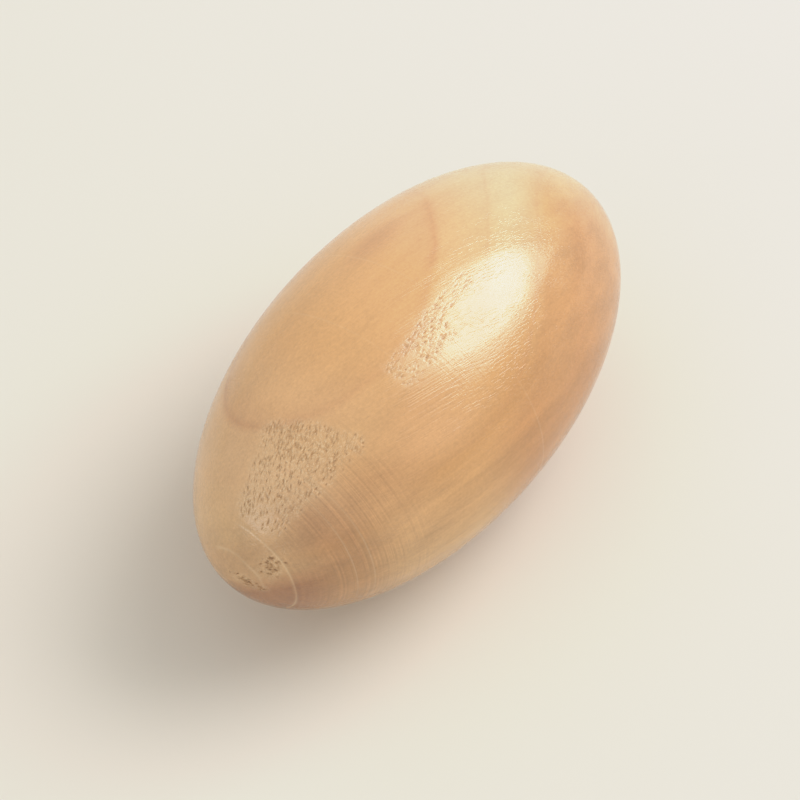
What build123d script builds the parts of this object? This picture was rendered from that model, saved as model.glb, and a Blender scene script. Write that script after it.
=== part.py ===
"""A turned wooden egg shaker, lying on its side, with its loose steel shot inside.

The egg is one ellipsoid of revolution about X, parted near its middle, hollowed and glued back
together: the near half carries a spigot that sits in a socket in the far half. The shot lies in
three rows on the floor of the hollow. +X runs along the egg towards the near half, +Z is up, and
the origin is the centre of the egg. All sizes are in millimetres.
"""
from build123d import *
import math
import os

# Outside of the egg
egg_length = 83.0
egg_diameter = 45.0

# Wood left around the hollow
side_wall = 6.5
end_wall = 8.0

# Glued joint between the halves: it lies a little to the far side of the middle
joint_x = -0.8
spigot_length = 5.0
spigot_wall = 3.0
glue_gap = 0.1

# Shot
pellet_diameter = 4.5
pellet_spacing = 0.3
floor_clearance = 0.1
middle_row_count = 9
side_row_count = 8

# Sizes that follow
hollow_radius = egg_diameter / 2 - side_wall
hollow_half_length = egg_length / 2 - end_wall
spigot_radius = hollow_radius + spigot_wall
pellet_pitch = pellet_diameter + pellet_spacing
row_pitch = pellet_pitch * math.sin(math.radians(60))

os.makedirs("parts", exist_ok=True)


# ---------------------------------------------------------------- near half, with the spigot
with BuildPart() as near_half_shell:
    with BuildSketch(Plane.XZ):
        Ellipse(egg_length / 2, egg_diameter / 2)
        with Locations((joint_x, 0)):
            Rectangle(egg_length, egg_diameter, align=(Align.MIN, Align.MIN), mode=Mode.INTERSECT)
            Rectangle(spigot_length, spigot_radius, align=(Align.MAX, Align.MIN))
        Ellipse(hollow_half_length, hollow_radius, mode=Mode.SUBTRACT)
    revolve(axis=Axis.X)
near_half_shell.part.label = "near_half_shell"
export_step(near_half_shell.part, "parts/near_half_shell.step")


# ---------------------------------------------------------------- far half, with the socket
with BuildPart() as far_half_shell:
    with BuildSketch(Plane.XZ):
        Ellipse(egg_length / 2, egg_diameter / 2)
        with Locations((joint_x, 0)):
            Rectangle(egg_length, egg_diameter, align=(Align.MAX, Align.MIN), mode=Mode.INTERSECT)
            Rectangle(
                spigot_length + glue_gap,
                spigot_radius + glue_gap,
                align=(Align.MAX, Align.MIN),
                mode=Mode.SUBTRACT,
            )
        Ellipse(hollow_half_length, hollow_radius, mode=Mode.SUBTRACT)
    revolve(axis=Axis.X)
far_half_shell.part.label = "far_half_shell"
export_step(far_half_shell.part, "parts/far_half_shell.step")


# ---------------------------------------------------------------- shot
def reach_from_axis(x):
    """How far from the egg's axis a pellet's centre can go at station x.

    The centre keeps the pellet's radius and the floor clearance from the wall of the hollow, so it
    stays inside a curve that runs parallel to the hollow's ellipse. The angle on the ellipse whose
    parallel point lies at x is found by halving.
    """
    inset = pellet_diameter / 2 + floor_clearance
    low, high = 0.0, math.pi
    for _ in range(60):
        angle = (low + high) / 2
        slope = math.hypot(hollow_radius * math.cos(angle), hollow_half_length * math.sin(angle))
        station = (hollow_half_length - inset * hollow_radius / slope) * math.cos(angle)
        if station > x:
            low = angle
        else:
            high = angle
    return (hollow_radius - inset * hollow_half_length / slope) * math.sin(angle)


def row_of_pellets(y, count):
    """Centres of one row along X at y, each resting on the floor of the hollow."""
    centres = []
    for index in range(count):
        x = (index - (count - 1) / 2) * pellet_pitch
        z = -math.sqrt(reach_from_axis(x) ** 2 - y**2)
        centres.append((x, y, z))
    return centres


pellet_centres = (
    row_of_pellets(-row_pitch, side_row_count)
    + row_of_pellets(0, middle_row_count)
    + row_of_pellets(row_pitch, side_row_count)
)

for number, centre in enumerate(pellet_centres, start=1):
    with BuildPart() as pellet:
        with Locations(centre):
            Sphere(pellet_diameter / 2)
    pellet.part.label = f"pellet_{number:02d}"
    export_step(pellet.part, f"parts/pellet_{number:02d}.step")
    print(f"{pellet.part.label}: rests at z {centre[2]:.3f}, free to rise {-2 * centre[2]:.3f}")
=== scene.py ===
"""A turned wooden egg shaker lying on a pale floor, in soft daylight from a large diffuser.

The two glued halves of the egg are modelled again as fine turned shells, with their lathe marks,
their torn grain and the hairline of the glued joint in the mesh. The loose steel shot inside is
modelled again as closed balls with worn flats. X runs along the egg towards the half with the
spigot, Z is up, and the origin is the middle of the egg. Lengths in the scene are metres; the
wood's own sizes are named in millimetres and multiplied by MM.
"""
import math

import bmesh
import bpy
import numpy as np
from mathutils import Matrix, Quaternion, Vector


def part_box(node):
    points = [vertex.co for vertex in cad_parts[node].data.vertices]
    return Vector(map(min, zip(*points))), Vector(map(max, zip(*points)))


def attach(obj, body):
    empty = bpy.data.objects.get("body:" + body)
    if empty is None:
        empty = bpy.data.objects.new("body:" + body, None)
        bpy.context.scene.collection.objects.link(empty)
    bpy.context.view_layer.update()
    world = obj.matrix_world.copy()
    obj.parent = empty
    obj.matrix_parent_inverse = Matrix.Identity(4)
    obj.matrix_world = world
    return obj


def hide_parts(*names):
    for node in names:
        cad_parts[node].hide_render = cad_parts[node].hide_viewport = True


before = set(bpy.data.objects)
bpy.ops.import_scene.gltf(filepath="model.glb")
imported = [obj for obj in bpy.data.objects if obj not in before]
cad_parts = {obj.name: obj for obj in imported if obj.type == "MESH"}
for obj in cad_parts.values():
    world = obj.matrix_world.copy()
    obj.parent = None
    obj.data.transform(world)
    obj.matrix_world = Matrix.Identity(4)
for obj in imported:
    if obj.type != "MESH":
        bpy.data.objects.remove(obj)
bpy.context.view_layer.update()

MM = 0.001

# ---------------------------------------------------------------- sizes
near_low, near_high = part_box("near_half_shell")
far_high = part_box("far_half_shell")[1]
HALF_LENGTH = near_high.x
RADIUS = near_high.z
JOINT_X = far_high.x
SPIGOT_END_X = near_low.x
FLOOR_Z = near_low.z

SIDE_WALL = 6.5 * MM
END_WALL = 8.0 * MM
SPIGOT_WALL = 3.0 * MM
GLUE_GAP = 0.1 * MM
HOLLOW_RADIUS = RADIUS - SIDE_WALL
HOLLOW_HALF_LENGTH = HALF_LENGTH - END_WALL
SPIGOT_RADIUS = HOLLOW_RADIUS + SPIGOT_WALL

# Stations along the egg are shares of its half length, + towards the near end. Angles round it
# are in degrees: 0 faces -Y, 90 is the top and 180 faces +Y.

# Rings of the mesh: the distance between them on plain wood, on torn grain, across a tool mark
# and in the hollow, and how soon that changes beside torn grain and beside a mark
PLAIN_STEP = 0.5 * MM
TORN_STEP = 0.17 * MM
MARK_STEP = 0.06 * MM
INNER_STEP = 1.6 * MM
TORN_STEP_EDGE = 0.02
MARK_STEP_REACH = 0.25 * MM
LAST_RING_TURN = 0.02
SPACING_SAMPLES = 6000

# Segments round the egg: degrees between them on plain wood and over the band of torn grain
PLAIN_TURN = 2.0
TORN_TURN = 0.32
TORN_BAND = (73.0, 117.0)
TORN_BAND_EDGE = 4.0

# ---------------------------------------------------------------- wear in the wood
WEAR_SEED = 11

# Patches of torn grain. Slant is how much further from the end the patch starts across its
# width, and lean is how far its fibres turn off the line to the pole, in degrees.
NEAR_TEAR = {"station": (0.57, 0.90), "angle": (77.0, 117.0), "slant": 0.13, "count": 700,
             "size": 0.95, "lean": 24.0}
NEAR_TEAR_TOP = {"station": (0.575, 0.72), "angle": (73.0, 114.0), "slant": 0.13, "count": 210,
                 "size": 1.0, "lean": 24.0}
MIDDLE_TEAR = {"station": (0.04, 0.31), "angle": (101.0, 114.5), "slant": 0.0, "count": 240,
               "size": 0.75, "lean": 9.0}
EDGE_TEAR = {"station": (-0.18, 0.14), "angle": (99.5, 106.0), "slant": 0.0, "count": 110,
             "size": 0.7, "lean": 9.0}
TEARS = (NEAR_TEAR, NEAR_TEAR_TOP, MIDDLE_TEAR, EDGE_TEAR)
TEARS_ON_FINE_RINGS = (NEAR_TEAR, MIDDLE_TEAR)

# How the fibres thin out along and across a patch, as the two shape numbers of a beta draw
TEAR_ALONG = (1.25, 1.4)
TEAR_ACROSS = (1.3, 1.3)

# One torn fibre: least and most length and width in mm, least and most depth as a share before
# it is raised to a power, greatest depth in mm, and spread of lean in degrees
TEAR_LENGTH = (0.15, 0.46)
TEAR_WIDTH = (0.05, 0.085)
TEAR_DEPTH_SHARE = (0.15, 1.0)
TEAR_DEPTH_POWER = 1.5
TEAR_DEPTH = 0.12
TEAR_LEAN_SPREAD = 9.0

# The lifted fibres round each tear: how far they reach and how plain they are
# Their pale colour is partly their own and partly a painted highlight where they catch the light
FRINGE_REACH = 0.45 * MM
FRINGE_STRENGTH = 0.35

# Powers that give a dent steep sides and the lifted fibres a soft edge
DENT_POWER = 1.3
FRINGE_POWER = 0.8

# Where the near end's end grain begins, as a station
END_GRAIN_FROM = 0.93

# Clusters of chips in it, by y and z in mm, then the least and most length, width and depth of
# one chip in mm and its greatest lean in radians
END_CHIPS = [
    {"middle": (5.3, 5.3), "spread": (0.85, 1.05), "count": 60},
    {"middle": (2.3, 1.05), "spread": (1.3, 0.50), "count": 46},
]
CHIP_LENGTH = (0.12, 0.30)
CHIP_WIDTH = (0.06, 0.12)
CHIP_DEPTH = (0.04, 0.22)
CHIP_LEAN = 0.7

# Depth at which torn grain shows at its darkest, painted shade included, and how near the joint a
# tear is on both halves
FULL_TORN_DEPTH = 0.16 * MM
JOINT_OVERLAP = 0.1

# Circular marks of the lathe tool: station, half width and depth in mm, how pale (+) or dark (-)
# each shows, and the angles that it runs between, fading over MARK_FADE degrees
TOOL_MARKS = [
    {"station": 0.257, "width": 0.10, "depth": 0.003, "pale": 0.20, "from": 60, "to": 100},
    {"station": 0.714, "width": 0.10, "depth": 0.012, "pale": 0.35, "from": 100, "to": 200},
    {"station": 0.738, "width": 0.14, "depth": 0.012, "pale": -0.45, "from": 100, "to": 200},
    {"station": 0.767, "width": 0.10, "depth": 0.012, "pale": 0.35, "from": 100, "to": 200},
    {"station": 0.922, "width": 0.10, "depth": 0.045, "pale": 0.70, "from": 92, "to": 215},
    {"station": 0.976, "width": 0.09, "depth": 0.030, "pale": 0.50, "from": 55, "to": 165},
]
MARK_FADE = 14.0

# The hairline of the glued joint, and the middle and half width of the stretch where it is lost
JOINT_MARK = {"width": 0.07, "depth": 0.004, "pale": 0.35}
JOINT_LOST = (118.0, 26.0)

# How far the hand sanding wanders from a true ellipsoid
SANDING_DEPTH = 0.012 * MM


# ---------------------------------------------------------------- figure and colours of the wood
def rgb(red, green, blue):
    return (red, green, blue, 1.0)


def grey(value):
    return (value, value, value, 1.0)


# Where the pith of the tree runs, beside the egg's axis: its distance away from one angle round
# the egg and its swing towards the angle a quarter turn on, each in mm, as a level, a slope and a
# bow along the egg
PITH_AWAY_FROM = 57.0
PITH_DISTANCE = (15.5, 0.0525, 0.0033)
PITH_SWING = (1.4, 0.162, -0.0065)

# Radii of the dark lines that end each year's growth, in mm from the pith, and how plain each is
RING_LINES = [(6.5, 0.5), (12.0, 0.5), (17.0, 0.5), (22.6, 0.5), (29.6, 0.60), (33.4, 0.50),
              (36.2, 1.0)]
RING_REACH = 42.0

# Where a line starts inside its radius, where it has faded outside it and where it ends, in mm
LINE_START = 0.16
LINE_FADED = 0.30
LINE_FADED_TO = 0.35
LINE_END = 1.10

# The wood's colour at stations along the egg, each by distance from the pith in mm. It is butter
# yellow near the bark of the far half, rose brown low on the near end, and honey between them.
WOOD_ALONG = [
    (-0.90, [(8, rgb(0.58, 0.33, 0.16)), (23, rgb(0.67, 0.40, 0.20)),
             (27, rgb(0.71, 0.46, 0.235)), (31, rgb(0.78, 0.54, 0.30))]),
    (-0.62, [(8, rgb(0.52, 0.265, 0.113)), (25, rgb(0.60, 0.314, 0.132)),
             (28.8, rgb(0.71, 0.42, 0.18)), (29.8, rgb(0.75, 0.49, 0.24)),
             (32, rgb(0.81, 0.61, 0.35)), (35.5, rgb(0.86, 0.61, 0.34))]),
    (-0.28, [(8, rgb(0.50, 0.235, 0.095)), (20, rgb(0.52, 0.245, 0.086)),
             (28.5, rgb(0.605, 0.32, 0.127)), (30.2, rgb(0.67, 0.40, 0.17)),
             (32.5, rgb(0.77, 0.53, 0.265)), (35.8, rgb(0.84, 0.50, 0.238)),
             (36.4, rgb(0.85, 0.51, 0.24))]),
    (0.0, [(8, rgb(0.52, 0.255, 0.095)), (20, rgb(0.53, 0.25, 0.086)),
           (27, rgb(0.545, 0.265, 0.093)), (30, rgb(0.62, 0.325, 0.117)),
           (35, rgb(0.77, 0.46, 0.19)), (37, rgb(0.79, 0.445, 0.185))]),
    (0.32, [(8, rgb(0.60, 0.34, 0.14)), (19, rgb(0.66, 0.395, 0.16)),
            (24, rgb(0.64, 0.36, 0.145)), (29, rgb(0.64, 0.34, 0.125)),
            (31.5, rgb(0.73, 0.41, 0.18)), (34, rgb(0.70, 0.39, 0.165)),
            (35.8, rgb(0.72, 0.41, 0.17)), (38, rgb(0.745, 0.415, 0.165))]),
    (0.58, [(8, rgb(0.58, 0.34, 0.15)), (18, rgb(0.65, 0.395, 0.175)),
            (24, rgb(0.64, 0.37, 0.16)), (31, rgb(0.61, 0.33, 0.135)),
            (34.5, rgb(0.69, 0.405, 0.175)), (36, rgb(0.72, 0.42, 0.19)),
            (37.5, rgb(0.76, 0.445, 0.20))]),
    (0.79, [(8, rgb(0.49, 0.26, 0.10)), (26, rgb(0.50, 0.26, 0.107)),
            (29, rgb(0.55, 0.30, 0.135)), (31, rgb(0.65, 0.39, 0.19)),
            (33, rgb(0.75, 0.465, 0.23))]),
    (0.93, [(8, rgb(0.365, 0.165, 0.069)), (20.5, rgb(0.37, 0.17, 0.071)),
            (22.6, rgb(0.53, 0.29, 0.13)), (23.4, rgb(0.60, 0.355, 0.165)),
            (27, rgb(0.62, 0.37, 0.175)), (29.5, rgb(0.69, 0.435, 0.21)),
            (32, rgb(0.76, 0.48, 0.235))]),
]
LINE_COLOUR = rgb(0.52, 0.235, 0.105)
PALE_COLOUR = rgb(0.86, 0.66, 0.40)
TORN_COLOUR = rgb(0.33, 0.135, 0.018)
# Painted shade for the bottom of the deeper tears
DEEP_SHADE_COLOUR = rgb(0.15, 0.060, 0.018)
BASE_LIGHTNESS = 0.957

# A rosy stain inside the last ring: its colour, its middle, its reach along each axis and how far
# it covers the wood's own colour
ROSE_COLOUR = rgb(0.66, 0.345, 0.160)
ROSE_MIDDLE = (-5.0 * MM, -10.0 * MM, 19.5 * MM)
ROSE_REACH = (7.5 * MM, 3.5 * MM, 3.5 * MM)
ROSE_STRENGTH = 0.55

# Streaks that run with the fibres: length and width in mm, and lean off the egg's axis
BROAD_STREAKS = {"Length": 26.0, "Width": 3.2, "Lean": math.radians(6)}
FINE_STREAKS = {"Length": 7.0, "Width": 0.30, "Lean": math.radians(12)}
RAISED_TUFTS = {"Length": 0.8, "Width": 0.16, "Lean": math.radians(-10), "Detail": 1.0}
SANDING_CUTS = {"Length": 24.0, "Width": 0.21, "Lean": math.radians(18), "Detail": 0.0}
CUT_PATCHES = {"Length": 11.0, "Width": 2.6, "Lean": math.radians(18)}
STEEL_SCRATCHES = {"Length": 1.6, "Width": 0.05, "Lean": 0.8}

# Turning lines: the distance between them in mm, on the outside and in the hollow
OUTSIDE_PITCH = 0.42
HOLLOW_PITCH = 0.9

# Where the lathe's lines were left on the outside: the stations over which they come in and go
# out, the stretch beside the egg's top over which they come in, and a fainter band at the middle
LINES_IN = (0.46, 0.60)
LINES_OUT = (0.97, 0.86)
LINES_BESIDE_TOP = (1.5 * MM, 6.0 * MM)
BELLY_IN = (-0.16, -0.02)
BELLY_OUT = (0.30, 0.16)

# How far each mark covers the wood's own colour, as wear and as painted light and shade
# Lifted fibres and tufts: painted pale, partly their own colour and partly a painted highlight
LIFTED_SHEEN_COVER = 0.12
TUFT_SHEEN_COVER = 0.55
PALE_MARK_COVER = 0.55
DARK_MARK_COVER = 0.30
TORN_COVER = 0.62
# Deep tears: painted shade darkening their bottoms
DEEP_SHADE_COVER = 0.60

# Size of the wood's pores, as noise cells to the metre
PORE_SCALE = 2.2 / MM

# How strongly the clear finish reflects, and how deep the relief is under it and in the hollow
SEALER_IOR = 1.80
SEALED_RELIEF = 0.016 * MM
BORED_RELIEF = 0.06 * MM

# ---------------------------------------------------------------- shot, light and camera
SHOT_SEED = 25
SHOT_SUBDIVISIONS = 4

# Knocks on each pellet: how many, and the least and most that one takes off, as a share of its
# radius
SHOT_KNOCKS = 7
KNOCK_DEPTH = (0.003, 0.012)

STEEL_DULL = rgb(0.42, 0.42, 0.43)
STEEL_BRIGHT = rgb(0.66, 0.66, 0.67)
STEEL_RELIEF = 0.01 * MM

FLOOR_HALF_WIDTH = 2.0
FLOOR_DARKER = rgb(0.79, 0.75, 0.664)
FLOOR_LIGHTER = rgb(0.82, 0.778, 0.694)

CAMERA_PLACE = Vector((4.658, 3.421, 8.206)) * (2 * RADIUS)
CAMERA_AIM = Vector((0.0845, 0.0155, 0.0)) * (2 * RADIUS)
CAMERA_LENS = 141.75

DIFFUSER_AZIMUTH, DIFFUSER_ELEVATION = 68, 41
WINDOW_AZIMUTH, WINDOW_ELEVATION = -133, 24
DAYLIGHT = (1.0, 0.97, 0.92)
HEART_LIGHT = (1.0, 0.965, 1.0)
WINDOW_LIGHT = (1.0, 0.98, 0.96)
ROOM_LIGHT = rgb(1.0, 0.985, 0.96)
ROOM_STRENGTH = 0.66

# How bright each level shows: level with what it is up to the first point, then rolling off
LEVEL_UP_TO = (0.78, 0.775)
ROLL_OFF = ((1.0, 0.87), (1.3, 0.92), (2.2, 0.97))
BRIGHTEST = 3.0


# ---------------------------------------------------------------- spacing the mesh
def spaced(low, high, step, speed=None):
    """Values from low to high, with steps of about step(value) divided by speed(value)."""
    fine = np.linspace(low, high, SPACING_SAMPLES)
    density = 1 / step(fine)
    if speed is not None:
        density = density * speed(fine)
    middles = (density[1:] + density[:-1]) / 2 * np.abs(np.diff(fine))
    total = np.concatenate([[0.0], np.cumsum(middles)])
    count = math.ceil(total[-1])
    return np.interp(np.linspace(0, total[-1], count + 1), total, fine)


def bell(value, middle, width):
    """1 at middle, falling smoothly to about a third at width to either side."""
    return np.exp(-(((value - middle) / width) ** 2))


def between(value, span, soft):
    """1 inside span, falling to 0 over soft outside it."""
    low, high = span
    return np.clip((value - low) / soft + 1, 0, 1) * np.clip((high - value) / soft + 1, 0, 1)


def outer_speed(turn):
    """Distance along the outline of the egg for each radian of its ellipse."""
    return np.hypot(HALF_LENGTH * np.sin(turn), RADIUS * np.cos(turn))


def outer_step(turn):
    """Distance between rings of the outside at a point of the ellipse."""
    station = np.cos(turn)
    torn = (station > END_GRAIN_FROM).astype(float)
    for tear in TEARS_ON_FINE_RINGS:
        low, high = tear["station"]
        torn = np.maximum(torn, between(station, (low - tear["slant"] / 2, high), TORN_STEP_EDGE))
    step = PLAIN_STEP + (TORN_STEP - PLAIN_STEP) * torn
    reach = MARK_STEP_REACH / HALF_LENGTH
    for middle in [mark["station"] for mark in TOOL_MARKS] + [JOINT_X / HALF_LENGTH]:
        step = step + (MARK_STEP - step) * bell(station, middle, reach)
    return step


def inner_speed(turn):
    """Distance along the outline of the hollow for each radian of its ellipse."""
    return np.hypot(HOLLOW_HALF_LENGTH * np.sin(turn), HOLLOW_RADIUS * np.cos(turn))


def inner_step(turn):
    """Distance between rings of the hollow, the same at every point."""
    return np.full_like(turn, INNER_STEP)


def turn_step(angle):
    """Degrees between segments at an angle round the egg."""
    return PLAIN_TURN + (TORN_TURN - PLAIN_TURN) * between(angle, TORN_BAND, TORN_BAND_EDGE)


def turns_to_pole(first_x, half_length, step, speed, towards_near):
    """Angles on an ellipse from the ring at first_x to the last ring before the pole."""
    first_turn = math.acos(first_x / half_length)
    last_turn = LAST_RING_TURN if towards_near else math.pi - LAST_RING_TURN
    low, high = sorted((first_turn, last_turn))
    turns = spaced(low, high, step, speed)
    return turns[::-1] if towards_near else turns


# ---------------------------------------------------------------- wear as depth over the outside
def scattered_tears(tear, random):
    """Short torn fibres strewn over a patch, thickest in its middle."""
    low_station, high_station = tear["station"]
    low_angle, high_angle = tear["angle"]
    for _ in range(tear["count"]):
        along = random.beta(*TEAR_ALONG)
        across = random.beta(*TEAR_ACROSS)
        station = low_station + (high_station - low_station) * along
        station = station - tear["slant"] * (across - 0.5) * (1 - along)
        yield {
            "station": station,
            "angle": low_angle + (high_angle - low_angle) * across,
            "length": random.uniform(*TEAR_LENGTH) * MM * tear["size"],
            "width": random.uniform(*TEAR_WIDTH) * MM,
            "depth": random.uniform(*TEAR_DEPTH_SHARE) ** TEAR_DEPTH_POWER * TEAR_DEPTH * MM,
            "lean": math.radians(random.normal(tear["lean"], TEAR_LEAN_SPREAD)),
        }


def end_chips(random):
    """Deeper chips where the tool left end grain, round the middle of the near end."""
    for cluster in END_CHIPS:
        for _ in range(cluster["count"]):
            y = cluster["middle"][0] + random.normal(0, cluster["spread"][0])
            z = cluster["middle"][1] + random.normal(0, cluster["spread"][1])
            away = math.hypot(y, z) * MM
            yield {
                "station": math.sqrt(max(0.0, 1 - (away / RADIUS) ** 2)),
                "angle": math.degrees(math.atan2(z, -y)) % 360,
                "length": random.uniform(*CHIP_LENGTH) * MM,
                "width": random.uniform(*CHIP_WIDTH) * MM,
                "depth": random.uniform(*CHIP_DEPTH) * MM,
                "lean": random.uniform(-CHIP_LEAN, CHIP_LEAN),
            }


def torn_depth(station, angle, tears):
    """How deep each point lies in the torn fibres, in metres, and the lifted fibres round them."""
    depth = np.zeros((len(station), len(angle)))
    fringe = np.zeros_like(depth)
    across = RADIUS * np.sqrt(np.maximum(0, 1 - station**2))
    x = station * HALF_LENGTH
    for tear in tears:
        tear_turn = math.acos(tear["station"])
        stretch = outer_speed(tear_turn) / (HALF_LENGTH * max(math.sin(tear_turn), 1e-3))
        from_tear = (x - tear["station"] * HALF_LENGTH) * stretch
        rows = np.flatnonzero(np.abs(from_tear) < 3 * max(tear["length"], FRINGE_REACH))
        if len(rows) == 0:
            continue
        along = from_tear[rows][:, None]
        turn = np.radians((angle - tear["angle"] + 180) % 360 - 180)[None, :]
        side = across[rows][:, None] * turn
        lean_cos, lean_sin = math.cos(tear["lean"]), math.sin(tear["lean"])
        long_way = (along * lean_cos + side * lean_sin) / tear["length"]
        short_way = (side * lean_cos - along * lean_sin) / tear["width"]
        dent = tear["depth"] * np.exp(-((long_way**2 + short_way**2) ** DENT_POWER))
        depth[rows] = np.maximum(depth[rows], dent)
        # The lifted fibres' share, later painted pale, partly as a painted highlight
        lifted = np.exp(-(((along**2 + side**2) / FRINGE_REACH**2) ** FRINGE_POWER))
        fringe[rows] = 1 - (1 - fringe[rows]) * (1 - FRINGE_STRENGTH * lifted)
    return depth, fringe


def tool_mark_fields(station, angle):
    """Depth of the circular tool marks, in metres, and how pale (+) or dark (-) each one shows."""
    depth = np.zeros((len(station), len(angle)))
    pale = np.zeros_like(depth)
    turn = np.radians(angle)[None, :]
    for mark in TOOL_MARKS:
        # A mark wavers a little along the egg, in mm, and is cut deeper and shallower round it
        waver = 0.04 * np.sin(3 * turn + 40 * mark["station"]) + 0.03 * np.sin(7 * turn)
        away = (station[:, None] - mark["station"]) * HALF_LENGTH / MM - waver
        strength = 0.75 + 0.25 * np.sin(turn * 5 + 9 * mark["station"])
        seen = between(angle, (mark["from"], mark["to"]), MARK_FADE)[None, :]
        shape = bell(away, 0.0, mark["width"]) * strength * seen
        depth += mark["depth"] * MM * shape
        pale += mark["pale"] * shape
    from_joint = (station * HALF_LENGTH - JOINT_X)[:, None] / MM
    seen = (1 - bell(angle, *JOINT_LOST) ** 0.5)[None, :]
    joint = bell(from_joint, 0.0, JOINT_MARK["width"]) * seen
    depth += JOINT_MARK["depth"] * MM * joint
    pale += JOINT_MARK["pale"] * joint
    return depth, pale


def hand_sanding(station, angle):
    """The slight unevenness that sanding by hand leaves, in metres."""
    turn = np.radians(angle)[None, :]
    along = station[:, None]
    waves = (
        np.sin(3 * turn + 5 * along)
        + 0.7 * np.sin(5 * turn - 9 * along + 1.3)
        + 0.5 * np.sin(2 * turn + 14 * along + 0.4)
    )
    return SANDING_DEPTH * waves * (1 - along**2)


# ---------------------------------------------------------------- the turned shells
OUTSIDE, INSIDE = 0, 1


def outside_rings(towards_near, angles):
    """x and radius of each ring from the joint to the pole, over the angles, and its wear."""
    turns = turns_to_pole(JOINT_X, HALF_LENGTH, outer_step, outer_speed, towards_near)
    station = np.cos(turns)
    random = np.random.default_rng(WEAR_SEED)
    tears = []
    for tear in TEARS:
        tears += list(scattered_tears(tear, random))
    tears += list(end_chips(random))
    on_this_half = [tear for tear in tears if (tear["station"] > 0) == towards_near
                    or abs(tear["station"]) < JOINT_OVERLAP]
    torn, fringe = torn_depth(station, angles, on_this_half)
    mark_depth, pale = tool_mark_fields(station, angles)
    lift = hand_sanding(station, angles) - torn - mark_depth

    # The outward normal of the ellipse, in the plane of the axis
    normal_x = RADIUS * np.cos(turns) / outer_speed(turns)
    normal_r = HALF_LENGTH * np.sin(turns) / outer_speed(turns)
    x = (station * HALF_LENGTH)[:, None] + lift * normal_x[:, None]
    radius = (RADIUS * np.sin(turns))[:, None] + lift * normal_r[:, None]
    x[0, :] = JOINT_X
    wear = {
        "torn_grain": np.clip(torn / FULL_TORN_DEPTH, 0, 1),
        # Their share, which the material paints pale: their own colour and a painted highlight
        "lifted_fibres_and_sheen": fringe,
        "tool_mark": pale,
    }
    return x, radius, wear


def inside_rings(towards_near):
    """x and radius of the edges of the spigot or socket, then of the hollow down to its pole."""
    grow = 0.0 if towards_near else GLUE_GAP
    end_x = SPIGOT_END_X - grow
    step_radius = SPIGOT_RADIUS + grow
    turns = turns_to_pole(end_x, HOLLOW_HALF_LENGTH, inner_step, inner_speed, towards_near)
    x = np.concatenate([[JOINT_X, end_x], HOLLOW_HALF_LENGTH * np.cos(turns)])
    radius = np.concatenate([[step_radius, step_radius], HOLLOW_RADIUS * np.sin(turns)])
    return x, radius


def shell_faces(outer_count, ring_count, segment_count):
    """Faces between the rings and round both poles, each one's material, and which are flat."""
    rings = np.arange(ring_count * segment_count).reshape(ring_count, segment_count)
    outer_pole, inner_pole = rings.size, rings.size + 1
    faces, materials, flat = [], [], []

    def lay(corners, material, is_flat=False):
        faces.extend(zip(*(corner.tolist() for corner in corners)))
        materials.extend([material] * segment_count)
        flat.extend([is_flat] * segment_count)

    def lay_band(here, there, material, is_flat=False):
        lay((here, np.roll(here, -1), np.roll(there, -1), there), material, is_flat)

    for index in range(outer_count - 1):
        lay_band(rings[index], rings[index + 1], OUTSIDE)
    joint_band, spigot_end_band = outer_count, outer_count + 2
    for index in range(outer_count, ring_count - 1):
        lay_band(rings[index + 1], rings[index], INSIDE, index in (joint_band, spigot_end_band))
    last = rings[outer_count - 1]
    lay((last, np.roll(last, -1), np.full_like(last, outer_pole)), OUTSIDE)
    last = rings[-1]
    lay((np.roll(last, -1), last, np.full_like(last, inner_pole)), INSIDE)
    return faces, materials, flat


def shell_mesh(name, towards_near):
    """One half of the egg: outside, joint faces and hollow, as one closed mesh."""
    angles = spaced(0.0, 360.0, turn_step)[:-1]
    turn = np.radians(angles)
    outer_x, outer_r, wear = outside_rings(towards_near, angles)
    inner_x, inner_r = inside_rings(towards_near)
    # The joint face has its own copy of the edge it shares with the outside, so that the shading
    # of the outside runs on to the glued joint
    x = np.vstack([outer_x, outer_x[:1], np.repeat(inner_x[:, None], len(angles), 1)])
    r = np.vstack([outer_r, outer_r[:1], np.repeat(inner_r[:, None], len(angles), 1)])
    sign = 1 if towards_near else -1
    poles = [[sign * HALF_LENGTH, 0, 0], [sign * HOLLOW_HALF_LENGTH, 0, 0]]
    vertices = np.stack([x, -r * np.cos(turn), r * np.sin(turn)], -1).reshape(-1, 3)
    vertices = np.vstack([vertices, poles])
    faces, materials, flat = shell_faces(len(outer_x), *x.shape)
    if towards_near:
        faces = [face[::-1] for face in faces]

    mesh = bpy.data.meshes.new(name)
    mesh.from_pydata(vertices.tolist(), [], faces)
    mesh.polygons.foreach_set("material_index", materials)
    mesh.polygons.foreach_set("use_smooth", np.logical_not(flat))
    for label, values in wear.items():
        whole = np.zeros(len(vertices), np.float32)
        whole[:values.size] = values.ravel()
        mesh.attributes.new(label, "FLOAT", "POINT").data.foreach_set("value", whole)
    mesh.validate()
    mesh.update()
    return mesh


# ---------------------------------------------------------------- node helpers
FLOAT, VECTOR = "NodeSocketFloat", "NodeSocketVector"


def feed(tree, socket, value):
    """Joins a socket to another's output, or sets it to a value."""
    if isinstance(value, bpy.types.NodeSocket):
        tree.links.new(value, socket)
    else:
        socket.default_value = value


def add(tree, kind, inputs=None, **settings):
    """A node with its settings and its inputs."""
    made = tree.nodes.new(kind)
    for name, value in settings.items():
        setattr(made, name, value)
    for name, value in (inputs or {}).items():
        feed(tree, made.inputs[name], value)
    return made


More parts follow.
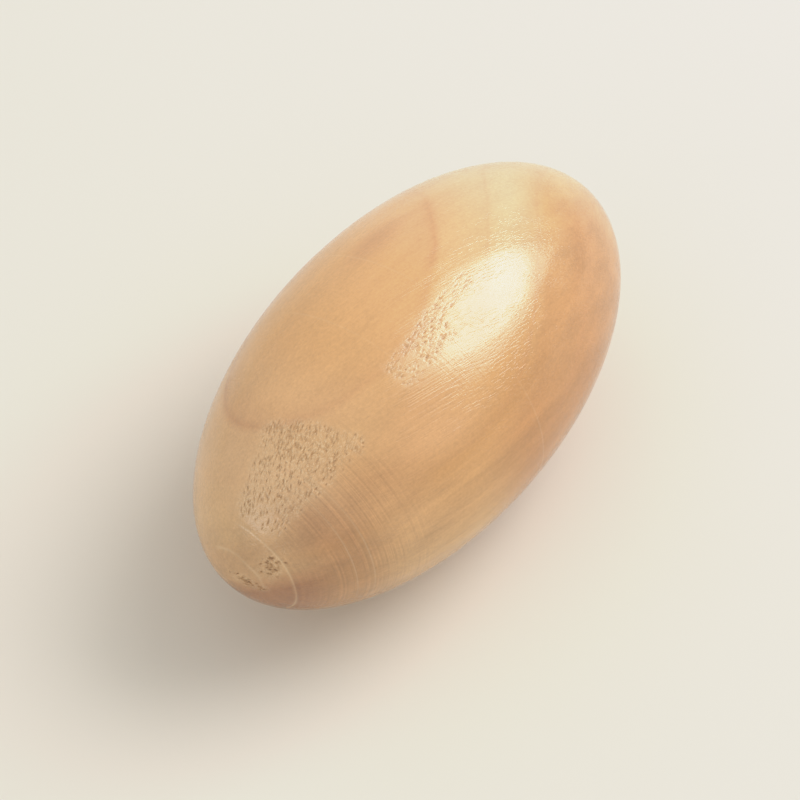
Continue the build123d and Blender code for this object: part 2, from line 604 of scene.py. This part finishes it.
def calc(tree, operation, first, second=0.0, third=0.0, clamp=False):
    """One step of arithmetic."""
    made = add(tree, "ShaderNodeMath", {0: first, 1: second, 2: third}, operation=operation,
               use_clamp=clamp)
    return made.outputs[0]


def product(tree, first, *others):
    """All of the values multiplied together."""
    for other in others:
        first = calc(tree, "MULTIPLY", first, other)
    return first


def weighted_sum(tree, start, *parts):
    """start plus every (value, amount) part's product."""
    for value, amount in parts:
        start = calc(tree, "MULTIPLY_ADD", value, amount, start)
    return start


def vector_calc(tree, operation, first, second):
    """One step of arithmetic on X, Y and Z."""
    return add(tree, "ShaderNodeVectorMath", {0: first, 1: second}, operation=operation).outputs[0]


def scaled(tree, vector, amount):
    """A vector or colour times one number."""
    made = add(tree, "ShaderNodeVectorMath", {0: vector, "Scale": amount}, operation="SCALE")
    return made.outputs[0]


def split(tree, vector):
    """The X, Y and Z of a vector."""
    return add(tree, "ShaderNodeSeparateXYZ", {0: vector}).outputs


def spread(tree, value, from_low, from_high, to_low=0.0, to_high=1.0, smooth=False):
    """Maps one range of a value on to another, and holds it inside that."""
    made = add(tree, "ShaderNodeMapRange",
               {"Value": value, "From Min": from_low, "From Max": from_high,
                "To Min": to_low, "To Max": to_high},
               interpolation_type="SMOOTHSTEP" if smooth else "LINEAR")
    return made.outputs["Result"]


def blend_colour(tree, share, first, second):
    """The first colour at share 0 and the second at share 1."""
    made = add(tree, "ShaderNodeMix", {0: share}, data_type="RGBA", clamp_factor=True)
    first_colour, second_colour = (socket for socket in made.inputs if socket.type == "RGBA")
    feed(tree, first_colour, first)
    feed(tree, second_colour, second)
    return next(socket for socket in made.outputs if socket.type == "RGBA")


def ramp(tree, value, stops):
    """A colour ramp through (position, colour) stops."""
    made = add(tree, "ShaderNodeValToRGB", {"Fac": value})
    band = made.color_ramp
    while len(band.elements) < len(stops):
        band.elements.new(0.5)
    for element, (position, colour) in zip(band.elements, stops):
        element.position = position
        element.color = colour
    return made.outputs["Color"]


def noise(tree, position, scale, detail, roughness):
    """A noise texture's node, for its Fac or its Color output."""
    return add(tree, "ShaderNodeTexNoise",
               {"Vector": position, "Scale": scale, "Detail": detail, "Roughness": roughness})


def new_group(name, inputs, outputs):
    """An empty shader node group, with its group input and output nodes."""
    tree = bpy.data.node_groups.new(name, "ShaderNodeTree")
    for label, kind, default in inputs:
        socket = tree.interface.new_socket(label, in_out="INPUT", socket_type=kind)
        if default is not None:
            socket.default_value = default
    for label in outputs:
        tree.interface.new_socket(label, in_out="OUTPUT", socket_type=FLOAT)
    return tree, tree.nodes.new("NodeGroupInput").outputs, tree.nodes.new("NodeGroupOutput").inputs


def place(tree, group, inputs):
    """A group in a material, with its own values."""
    return add(tree, "ShaderNodeGroup", inputs, node_tree=group).outputs


def new_material(name):
    """A material, its tree, its shader's inputs and the position on the piece to start from."""
    material = bpy.data.materials.new(name)
    material.use_nodes = True
    tree = material.node_tree
    tree.nodes.clear()
    shader = add(tree, "ShaderNodeBsdfPrincipled")
    add(tree, "ShaderNodeOutputMaterial", {"Surface": shader.outputs["BSDF"]})
    position = add(tree, "ShaderNodeTexCoord").outputs["Object"]
    return material, tree, shader.inputs, position


# ---------------------------------------------------------------- shared effects
def ring_line_stops():
    """Each line starts sharply on its inner side and fades slowly on its outer side."""
    stops = [(0.0, grey(0.0))]
    for radius, strength in RING_LINES:
        stops.append(((radius - LINE_START) / RING_REACH, grey(0.0)))
        stops.append((radius / RING_REACH, grey(strength)))
        stops.append(((radius + LINE_FADED) / RING_REACH, grey(LINE_FADED_TO * strength)))
        stops.append(((radius + LINE_END) / RING_REACH, grey(0.0)))
    return stops


def growth_ring_group():
    """How far each point of the wood is from the pith, in mm, with the tree's own unevenness.

    Rings that lie on one radius were made in one year, so every band and line of the figure is
    read from this distance.
    """
    tree, given, result = new_group(
        "Growth rings",
        [("Position", VECTOR, None), ("Waver", FLOAT, 1.6)],
        ["Radius", "Ring line"],
    )
    away_y = -math.cos(math.radians(PITH_AWAY_FROM))
    away_z = math.sin(math.radians(PITH_AWAY_FROM))
    in_mm = scaled(tree, given["Position"], 1 / MM)
    parts = split(tree, in_mm)
    broad = noise(tree, in_mm, scale=0.045, detail=1.5, roughness=0.45).outputs["Color"]
    shove = vector_calc(tree, "SUBTRACT", broad, (0.5, 0.5, 0.5))
    offsets = split(tree, scaled(tree, shove, given["Waver"]))
    y, z = parts["Y"], parts["Z"]
    for (level, slope, bow), (push_y, push_z) in ((PITH_DISTANCE, (away_y, away_z)),
                                                  (PITH_SWING, (away_z, -away_y))):
        bent = calc(tree, "MULTIPLY_ADD", parts["X"], bow, slope)
        bent = calc(tree, "MULTIPLY_ADD", parts["X"], bent, level)
        y = calc(tree, "MULTIPLY_ADD", bent, push_y, y)
        z = calc(tree, "MULTIPLY_ADD", bent, push_z, z)
    y = calc(tree, "ADD", y, offsets["Y"])
    z = calc(tree, "ADD", z, offsets["Z"])
    radius = calc(tree, "SQRT", calc(tree, "ADD", product(tree, y, y), product(tree, z, z)))
    feed(tree, result["Radius"], radius)

    lines = ramp(tree, calc(tree, "DIVIDE", radius, RING_REACH), ring_line_stops())
    patchy = noise(tree, in_mm, scale=0.07, detail=2.0, roughness=0.5).outputs["Fac"]
    shown = spread(tree, patchy, 0.35, 0.55, 0.45, 1.0, smooth=True)
    feed(tree, result["Ring line"], product(tree, lines, shown))
    return tree


def fibre_group():
    """Fine streaks that run with the fibres, as a value round 0.5."""
    tree, given, result = new_group(
        "Wood fibres",
        [("Position", VECTOR, None), ("Length", FLOAT, 9.0), ("Width", FLOAT, 0.35),
         ("Lean", FLOAT, 0.0), ("Detail", FLOAT, 3.0)],
        ["Streak"],
    )
    leaned = add(tree, "ShaderNodeVectorRotate",
                 {"Vector": given["Position"], "Angle": given["Lean"]}, rotation_type="Z_AXIS")
    sizes = add(tree, "ShaderNodeCombineXYZ",
                {0: given["Length"], 1: given["Width"], 2: given["Width"]})
    in_mm = scaled(tree, leaned.outputs[0], 1 / MM)
    stretched = vector_calc(tree, "DIVIDE", in_mm, sizes.outputs[0])
    streak = noise(tree, stretched, scale=1.0, detail=given["Detail"], roughness=0.6)
    feed(tree, result["Streak"], streak.outputs["Fac"])
    return tree


def turning_group():
    """Fine rings that the lathe leaves, as a height that depends on the station alone."""
    tree, given, result = new_group(
        "Turning lines",
        [("Position", VECTOR, None), ("Pitch", FLOAT, 0.4)],
        ["Height"],
    )
    pitch = product(tree, given["Pitch"], MM)
    turns = calc(tree, "DIVIDE", split(tree, given["Position"])["X"], pitch)
    fine = add(tree, "ShaderNodeTexNoise",
               {"W": turns, "Scale": 1.0, "Detail": 2.0, "Roughness": 0.7}, noise_dimensions="1D")
    feed(tree, result["Height"], fine.outputs["Fac"])
    return tree


# ---------------------------------------------------------------- wood
def streaks(tree, fibres, position, sizes):
    """Streaks of one kind over the piece, as a value round 0.5."""
    return place(tree, fibres, {"Position": position, **sizes})["Streak"]


def figure_colour(tree, radius, along):
    """The wood's colour by its distance from the pith, from station to station."""
    away = calc(tree, "DIVIDE", radius, RING_REACH)
    colour, station_before = None, None
    for station, bands in WOOD_ALONG:
        here = ramp(tree, away, [(at / RING_REACH, tone) for at, tone in bands])
        if colour is not None:
            share = spread(tree, along, station_before, station, smooth=True)
            here = blend_colour(tree, share, colour, here)
        colour, station_before = here, station
    return colour


def wood_colour(tree, position, rings, fibres):
    """Base colour of the wood from its growth rings and fibres, and its fine streaks."""
    growth = place(tree, rings, {"Position": position})
    along = calc(tree, "DIVIDE", split(tree, position)["X"], HALF_LENGTH)
    colour = figure_colour(tree, growth["Radius"], along)

    apart = vector_calc(tree, "SUBTRACT", position, ROSE_MIDDLE)
    apart = vector_calc(tree, "DIVIDE", apart, ROSE_REACH)
    apart = add(tree, "ShaderNodeVectorMath", {0: apart}, operation="LENGTH").outputs["Value"]
    rosy = spread(tree, apart, 1.1, 0.2, 0.0, ROSE_STRENGTH, smooth=True)
    colour = blend_colour(tree, rosy, colour, ROSE_COLOUR)

    # The last ring's line is plain all along and the others only on the far half, and all of them
    # are softer towards the far end
    last_ring = spread(tree, growth["Radius"], 34.8, 35.4)
    line_share = calc(tree, "MAXIMUM", last_ring, spread(tree, along, 0.20, -0.20, 0.25, 1.0))
    softer_far = spread(tree, along, -0.50, -0.15, 0.28, 0.50)
    line_share = product(tree, growth["Ring line"], line_share, softer_far)
    colour = blend_colour(tree, line_share, colour, LINE_COLOUR)

    streak = streaks(tree, fibres, position, FINE_STREAKS)
    broad = spread(tree, streaks(tree, fibres, position, BROAD_STREAKS), 0.25, 0.75, -1.0, 1.0)
    broad_share = spread(tree, growth["Radius"], 24.0, 34.0, 0.14, 0.05, smooth=True)
    flecks = noise(tree, position, PORE_SCALE, detail=2.0, roughness=0.7).outputs["Fac"]
    lightness = weighted_sum(
        tree, BASE_LIGHTNESS,
        (broad, broad_share),
        (spread(tree, streak, 0.25, 0.75, -0.05, 0.05), 1.0),
        (spread(tree, flecks, 0.25, 0.75, -0.07, 0.07), 1.0),
    )
    return scaled(tree, colour, lightness), streak


def lathe_zone(tree, position, station):
    """1 where the lathe's lines were not sanded away: on the far side of the near half."""
    worn = noise(tree, position, scale=0.22 / MM, detail=1.0, roughness=0.5).outputs["Fac"]
    return product(
        tree,
        spread(tree, station, *LINES_IN, smooth=True),
        spread(tree, station, *LINES_OUT, smooth=True),
        spread(tree, split(tree, position)["Y"], *LINES_BESIDE_TOP, smooth=True),
        spread(tree, worn, 0.32, 0.55, 0.30, 1.0, smooth=True),
    )


def sanding_cuts(tree, fibres, position):
    """Long fine cuts of the sandpaper, thicker in some patches than in others."""
    cuts = spread(tree, streaks(tree, fibres, position, SANDING_CUTS), 0.45, 0.62)
    patches = streaks(tree, fibres, position, CUT_PATCHES)
    return product(tree, cuts, spread(tree, patches, 0.40, 0.58, 0.25, 1.0))


def finished_wood(rings, fibres, turning):
    """The outside: turned, sanded and sealed with a clear satin finish."""
    material, tree, shader, position = new_material("turned wood, clear satin")
    colour, streak = wood_colour(tree, position, rings, fibres)
    depth, lifted, mark = (
        add(tree, "ShaderNodeAttribute", attribute_name=name).outputs["Fac"]
        for name in ("torn_grain", "lifted_fibres_and_sheen", "tool_mark")
    )
    torn = spread(tree, depth, 0.0, 0.5)
    # The deeper part of each tear, darkened as painted shade
    deep = spread(tree, depth, 0.45, 1.0)
    # Tufts of lifted fibre rise in the relief and are painted pale, partly as a painted highlight
    tufts_and_sheen = spread(tree, streaks(tree, fibres, position, RAISED_TUFTS), 0.50, 0.64)
    tufts_and_sheen = product(tree, tufts_and_sheen, lifted)
    # The lifted fibres and tufts are painted pale, partly as a painted highlight where they catch
    # light
    for wear, cover, tone in ((lifted, LIFTED_SHEEN_COVER, PALE_COLOUR),
                              (tufts_and_sheen, TUFT_SHEEN_COVER, PALE_COLOUR),
                              (mark, PALE_MARK_COVER, PALE_COLOUR),
                              (mark, -DARK_MARK_COVER, LINE_COLOUR),
                              (torn, TORN_COVER, TORN_COLOUR),
                              # Painted shade at the bottom of the deeper tears
                              (deep, DEEP_SHADE_COVER, DEEP_SHADE_COLOUR)):
        covered = calc(tree, "MULTIPLY", wear, cover, clamp=True)
        colour = blend_colour(tree, covered, colour, tone)

    station = calc(tree, "DIVIDE", split(tree, position)["X"], HALF_LENGTH)
    zone = lathe_zone(tree, position, station)
    lines = place(tree, turning, {"Position": position, "Pitch": OUTSIDE_PITCH})["Height"]
    # The turning lines are painted lighter and darker, as painted light and shade of their grooves
    painted_groove_shade = spread(tree, lines, 0.25, 0.75, -0.15, 0.11)
    colour = scaled(tree, colour, weighted_sum(tree, 1.0, (painted_groove_shade, zone)))
    feed(tree, shader["Base Color"], colour)

    belly = product(tree, spread(tree, station, *BELLY_IN, smooth=True),
                    spread(tree, station, *BELLY_OUT, smooth=True))
    line_relief = weighted_sum(tree, 0.12, (zone, 0.9), (belly, 0.6))
    grit = noise(tree, position, PORE_SCALE, detail=1.0, roughness=0.5).outputs["Fac"]
    cuts = sanding_cuts(tree, fibres, position)
    height = weighted_sum(tree, product(tree, lines, line_relief),
                          (grit, 0.25), (streak, 0.25), (cuts, -1.1), (tufts_and_sheen, 1.2))
    bump = add(tree, "ShaderNodeBump", {"Height": height, "Distance": SEALED_RELIEF})
    feed(tree, shader["Normal"], bump.outputs["Normal"])
    scuffed = spread(tree, cuts, 0.0, 1.0, 0.12, 0.22)
    feed(tree, shader["Roughness"], weighted_sum(tree, scuffed, (torn, 0.35)))
    shader["IOR"].default_value = SEALER_IOR
    return material


def bare_wood(rings, fibres, turning):
    """The hollow and the glued faces: bored and turned, with no finish."""
    material, tree, shader, position = new_material("bored wood, unfinished")
    colour, streak = wood_colour(tree, position, rings, fibres)
    feed(tree, shader["Base Color"], blend_colour(tree, 0.25, colour, PALE_COLOUR))
    lines = place(tree, turning, {"Position": position, "Pitch": HOLLOW_PITCH})["Height"]
    height = calc(tree, "ADD", lines, streak)
    bump = add(tree, "ShaderNodeBump", {"Height": height, "Distance": BORED_RELIEF})
    feed(tree, shader["Normal"], bump.outputs["Normal"])
    feed(tree, shader["Roughness"], spread(tree, streak, 0.3, 0.7, 0.62, 0.85))
    return material


# ---------------------------------------------------------------- steel
def tumbled_steel(fibres):
    """Steel shot, bright where it rubs and dull in its tumbled skin."""
    material, tree, shader, position = new_material("tumbled steel shot")
    rubbed = noise(tree, position, scale=0.9 / MM, detail=4.0, roughness=0.6).outputs["Fac"]
    worn = spread(tree, rubbed, 0.35, 0.65, smooth=True)
    feed(tree, shader["Base Color"], blend_colour(tree, worn, STEEL_DULL, STEEL_BRIGHT))
    scratch = streaks(tree, fibres, position, STEEL_SCRATCHES)
    rough = weighted_sum(tree, spread(tree, worn, 0, 1, 0.30, 0.12), (scratch, 0.25))
    feed(tree, shader["Roughness"], rough)
    height = calc(tree, "ADD", scratch, rubbed)
    bump = add(tree, "ShaderNodeBump", {"Height": height, "Distance": STEEL_RELIEF})
    feed(tree, shader["Normal"], bump.outputs["Normal"])
    shader["Metallic"].default_value = 1.0
    return material


# ---------------------------------------------------------------- pieces
# Where the map of each half lies: first edge and height of the strip of its outside and of the
# strip of its hollow and joint, and the turn that its width holds, in degrees
OUTSIDE_STRIP = (0.16, 0.83)
INSIDE_STRIP = (0.01, 0.13)
MAP_TURN = 362
ON_AXIS = 1e-7


def read(items, attribute, width, kind):
    """One attribute of all of a mesh's vertices, corners or faces."""
    values = np.empty(len(items) * width, kind)
    items.foreach_get(attribute, values)
    return values


def bake_map(mesh):
    """Unrolls the outside over most of the map, and the rest of the mesh into a strip below it."""
    corner_vertex = read(mesh.loops, "vertex_index", 1, np.int32)
    points = read(mesh.vertices, "co", 3, float).reshape(-1, 3)[corner_vertex]
    corner_count = read(mesh.polygons, "loop_total", 1, np.int32)
    material = read(mesh.polygons, "material_index", 1, np.int32)
    starts = np.concatenate([[0], np.cumsum(corner_count)[:-1]])
    face = np.repeat(np.arange(len(corner_count)), corner_count)

    # A face that crosses the seam goes past the end of the turn, and a pole's corner lies in the
    # middle of its face
    around = np.degrees(np.arctan2(points[:, 2], -points[:, 1])) % 360
    around = np.where(np.hypot(points[:, 1], points[:, 2]) < ON_AXIS, np.nan, around)
    low = np.fmin.reduceat(around, starts)[face]
    high = np.fmax.reduceat(around, starts)[face]
    around = np.where((high - low > 180) & (around < 180), around + 360, around)
    middle = (np.fmin.reduceat(around, starts) + np.fmax.reduceat(around, starts))[face] / 2
    around = np.where(np.isnan(around), middle, around)

    share = np.clip(np.abs(points[:, 0]) / HALF_LENGTH, 0, 1)
    opened_out = np.arccos(1 - share) * 2 / math.pi
    v = np.where(material[face] == OUTSIDE,
                 OUTSIDE_STRIP[0] + OUTSIDE_STRIP[1] * share,
                 INSIDE_STRIP[0] + INSIDE_STRIP[1] * opened_out)
    u = np.clip(around / MAP_TURN, 0, 1)
    layer = mesh.uv_layers.new(name="OFBake")
    layer.uv.foreach_set("vector", np.stack([u, v], 1).astype(np.float32).ravel())


def add_piece(mesh, body, node):
    """Puts a mesh in the scene, riding on its body in place of its CAD solid."""
    piece = bpy.data.objects.new(mesh.name, mesh)
    bpy.context.scene.collection.objects.link(piece)
    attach(piece, body)
    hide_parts(node)


def half_egg(name, node, towards_near, materials):
    """One turned half, in the place of its CAD solid."""
    mesh = shell_mesh(name, towards_near)
    for material in materials:
        mesh.materials.append(material)
    bake_map(mesh)
    add_piece(mesh, "egg_shell", node)


def shot_pellet(node, random, steel):
    """One ball of shot in the place of its CAD solid, with the flats that knocking about leaves."""
    low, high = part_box(node)
    middle, radius = (low + high) / 2, (high.x - low.x) / 2
    shape = bmesh.new()
    bmesh.ops.create_icosphere(shape, subdivisions=SHOT_SUBDIVISIONS, radius=radius)
    for _ in range(SHOT_KNOCKS):
        knock = Vector(random.normal(0, 1, 3)).normalized()
        reach = radius * (1 - random.uniform(*KNOCK_DEPTH))
        for vert in shape.verts:
            vert.co -= knock * max(0.0, vert.co.dot(knock) - reach)
    for vert in shape.verts:
        vert.co += middle
    for face in shape.faces:
        face.smooth = True
    mesh = bpy.data.meshes.new(node.replace("pellet", "shot"))
    shape.to_mesh(mesh)
    shape.free()
    mesh.materials.append(steel)
    add_piece(mesh, node, node)


rings = growth_ring_group()
fibres = fibre_group()
turning = turning_group()
outside = finished_wood(rings, fibres, turning)
inside = bare_wood(rings, fibres, turning)
half_egg("near_half", "near_half_shell", True, (outside, inside))
half_egg("far_half", "far_half_shell", False, (outside, inside))

steel = tumbled_steel(fibres)
shot_random = np.random.default_rng(SHOT_SEED)
for node_name in sorted(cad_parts):
    if node_name.startswith("pellet_"):
        shot_pellet(node_name, shot_random, steel)


# ---------------------------------------------------------------- floor
def pale_floor():
    """A wide, pale, matt floor just under the egg."""
    material, tree, shader, position = new_material("pale floor")
    mottle = noise(tree, position, scale=9.0, detail=3.0, roughness=0.5).outputs["Fac"]
    feed(tree, shader["Base Color"], blend_colour(tree, mottle, FLOOR_DARKER, FLOOR_LIGHTER))
    shader["Roughness"].default_value = 0.95
    shader["Specular IOR Level"].default_value = 0.2
    half = FLOOR_HALF_WIDTH
    corners = [(-half, -half, FLOOR_Z), (half, -half, FLOOR_Z), (half, half, FLOOR_Z),
               (-half, half, FLOOR_Z)]
    mesh = bpy.data.meshes.new("floor")
    mesh.from_pydata(corners, [], [(0, 1, 2, 3)])
    mesh.materials.append(material)
    floor = bpy.data.objects.new("floor", mesh)
    bpy.context.scene.collection.objects.link(floor)


pale_floor()


# ---------------------------------------------------------------- light
def towards(azimuth, elevation):
    """Unit vector to a light: azimuth from the camera's own heading, clockwise seen from above."""
    heading = math.atan2(CAMERA_AIM.y - CAMERA_PLACE.y, CAMERA_AIM.x - CAMERA_PLACE.x)
    turn = heading - math.radians(azimuth)
    rise = math.radians(elevation)
    flat = math.cos(rise)
    return Vector((flat * math.cos(turn), flat * math.sin(turn), math.sin(rise)))


def panel_light(name, direction, distance, size, radiance, colour, shape="RECTANGLE", turn=0.0,
                slide=(0.0, 0.0)):
    """A flat light facing the egg, as bright as radiance wherever it is seen.

    turn rolls it in its own plane, in degrees, and slide moves it there, sideways and up.
    """
    data = bpy.data.lights.new(name, "AREA")
    data.shape = shape
    data.size, data.size_y = size
    area = size[0] * size[1] * (1.0 if shape == "RECTANGLE" else math.pi / 4)
    data.energy = radiance * math.pi * area
    data.color = colour
    lamp = bpy.data.objects.new(name, data)
    facing = (-direction).to_track_quat("-Z", "Y")
    lamp.rotation_euler = (facing @ Quaternion((0, 0, 1), math.radians(turn))).to_euler()
    sideways = facing @ Vector((1, 0, 0))
    upwards = facing @ Vector((0, 1, 0))
    lamp.location = direction * distance + sideways * slide[0] + upwards * slide[1]
    bpy.context.scene.collection.objects.link(lamp)


diffuser = towards(DIFFUSER_AZIMUTH, DIFFUSER_ELEVATION)
panel_light("diffuser", diffuser, distance=1.0, size=(0.82, 0.92), radiance=1.72,
            colour=DAYLIGHT, turn=-20, slide=(0.02, 0.15))
panel_light("diffuser heart", diffuser, distance=0.98, size=(0.68, 0.60), radiance=2.9,
            colour=HEART_LIGHT, shape="ELLIPSE", slide=(0.04, 0.10))
panel_light("window behind", towards(WINDOW_AZIMUTH, WINDOW_ELEVATION), distance=1.2,
            size=(0.60, 0.36), radiance=1.3, colour=WINDOW_LIGHT)

world = bpy.data.worlds.new("room")
bpy.context.scene.world = world
world.use_nodes = True
background = world.node_tree.nodes["Background"]
background.inputs["Color"].default_value = ROOM_LIGHT
background.inputs["Strength"].default_value = ROOM_STRENGTH

# ---------------------------------------------------------------- camera
camera_data = bpy.data.cameras.new("camera")
camera_data.sensor_width = 36.0
camera_data.lens = CAMERA_LENS
camera_data.clip_start = 0.01
camera = bpy.data.objects.new("camera", camera_data)
camera.location = CAMERA_PLACE
camera.rotation_euler = (CAMERA_AIM - CAMERA_PLACE).to_track_quat("-Z", "Y").to_euler()
bpy.context.scene.collection.objects.link(camera)
bpy.context.scene.camera = camera


def soften_highlights(view):
    """The bright end of the picture rolls off gently below white instead of clipping."""
    view.view_transform = "Standard"
    view.use_curve_mapping = True
    mapping = view.curve_mapping
    mapping.clip_max_x = BRIGHTEST
    all_channels = mapping.curves[3]
    all_channels.points[1].location = LEVEL_UP_TO
    for bright, shown in ROLL_OFF:
        all_channels.points.new(bright, shown)
    for point in all_channels.points:
        point.handle_type = "VECTOR"
    mapping.update()


soften_highlights(bpy.context.scene.view_settings)
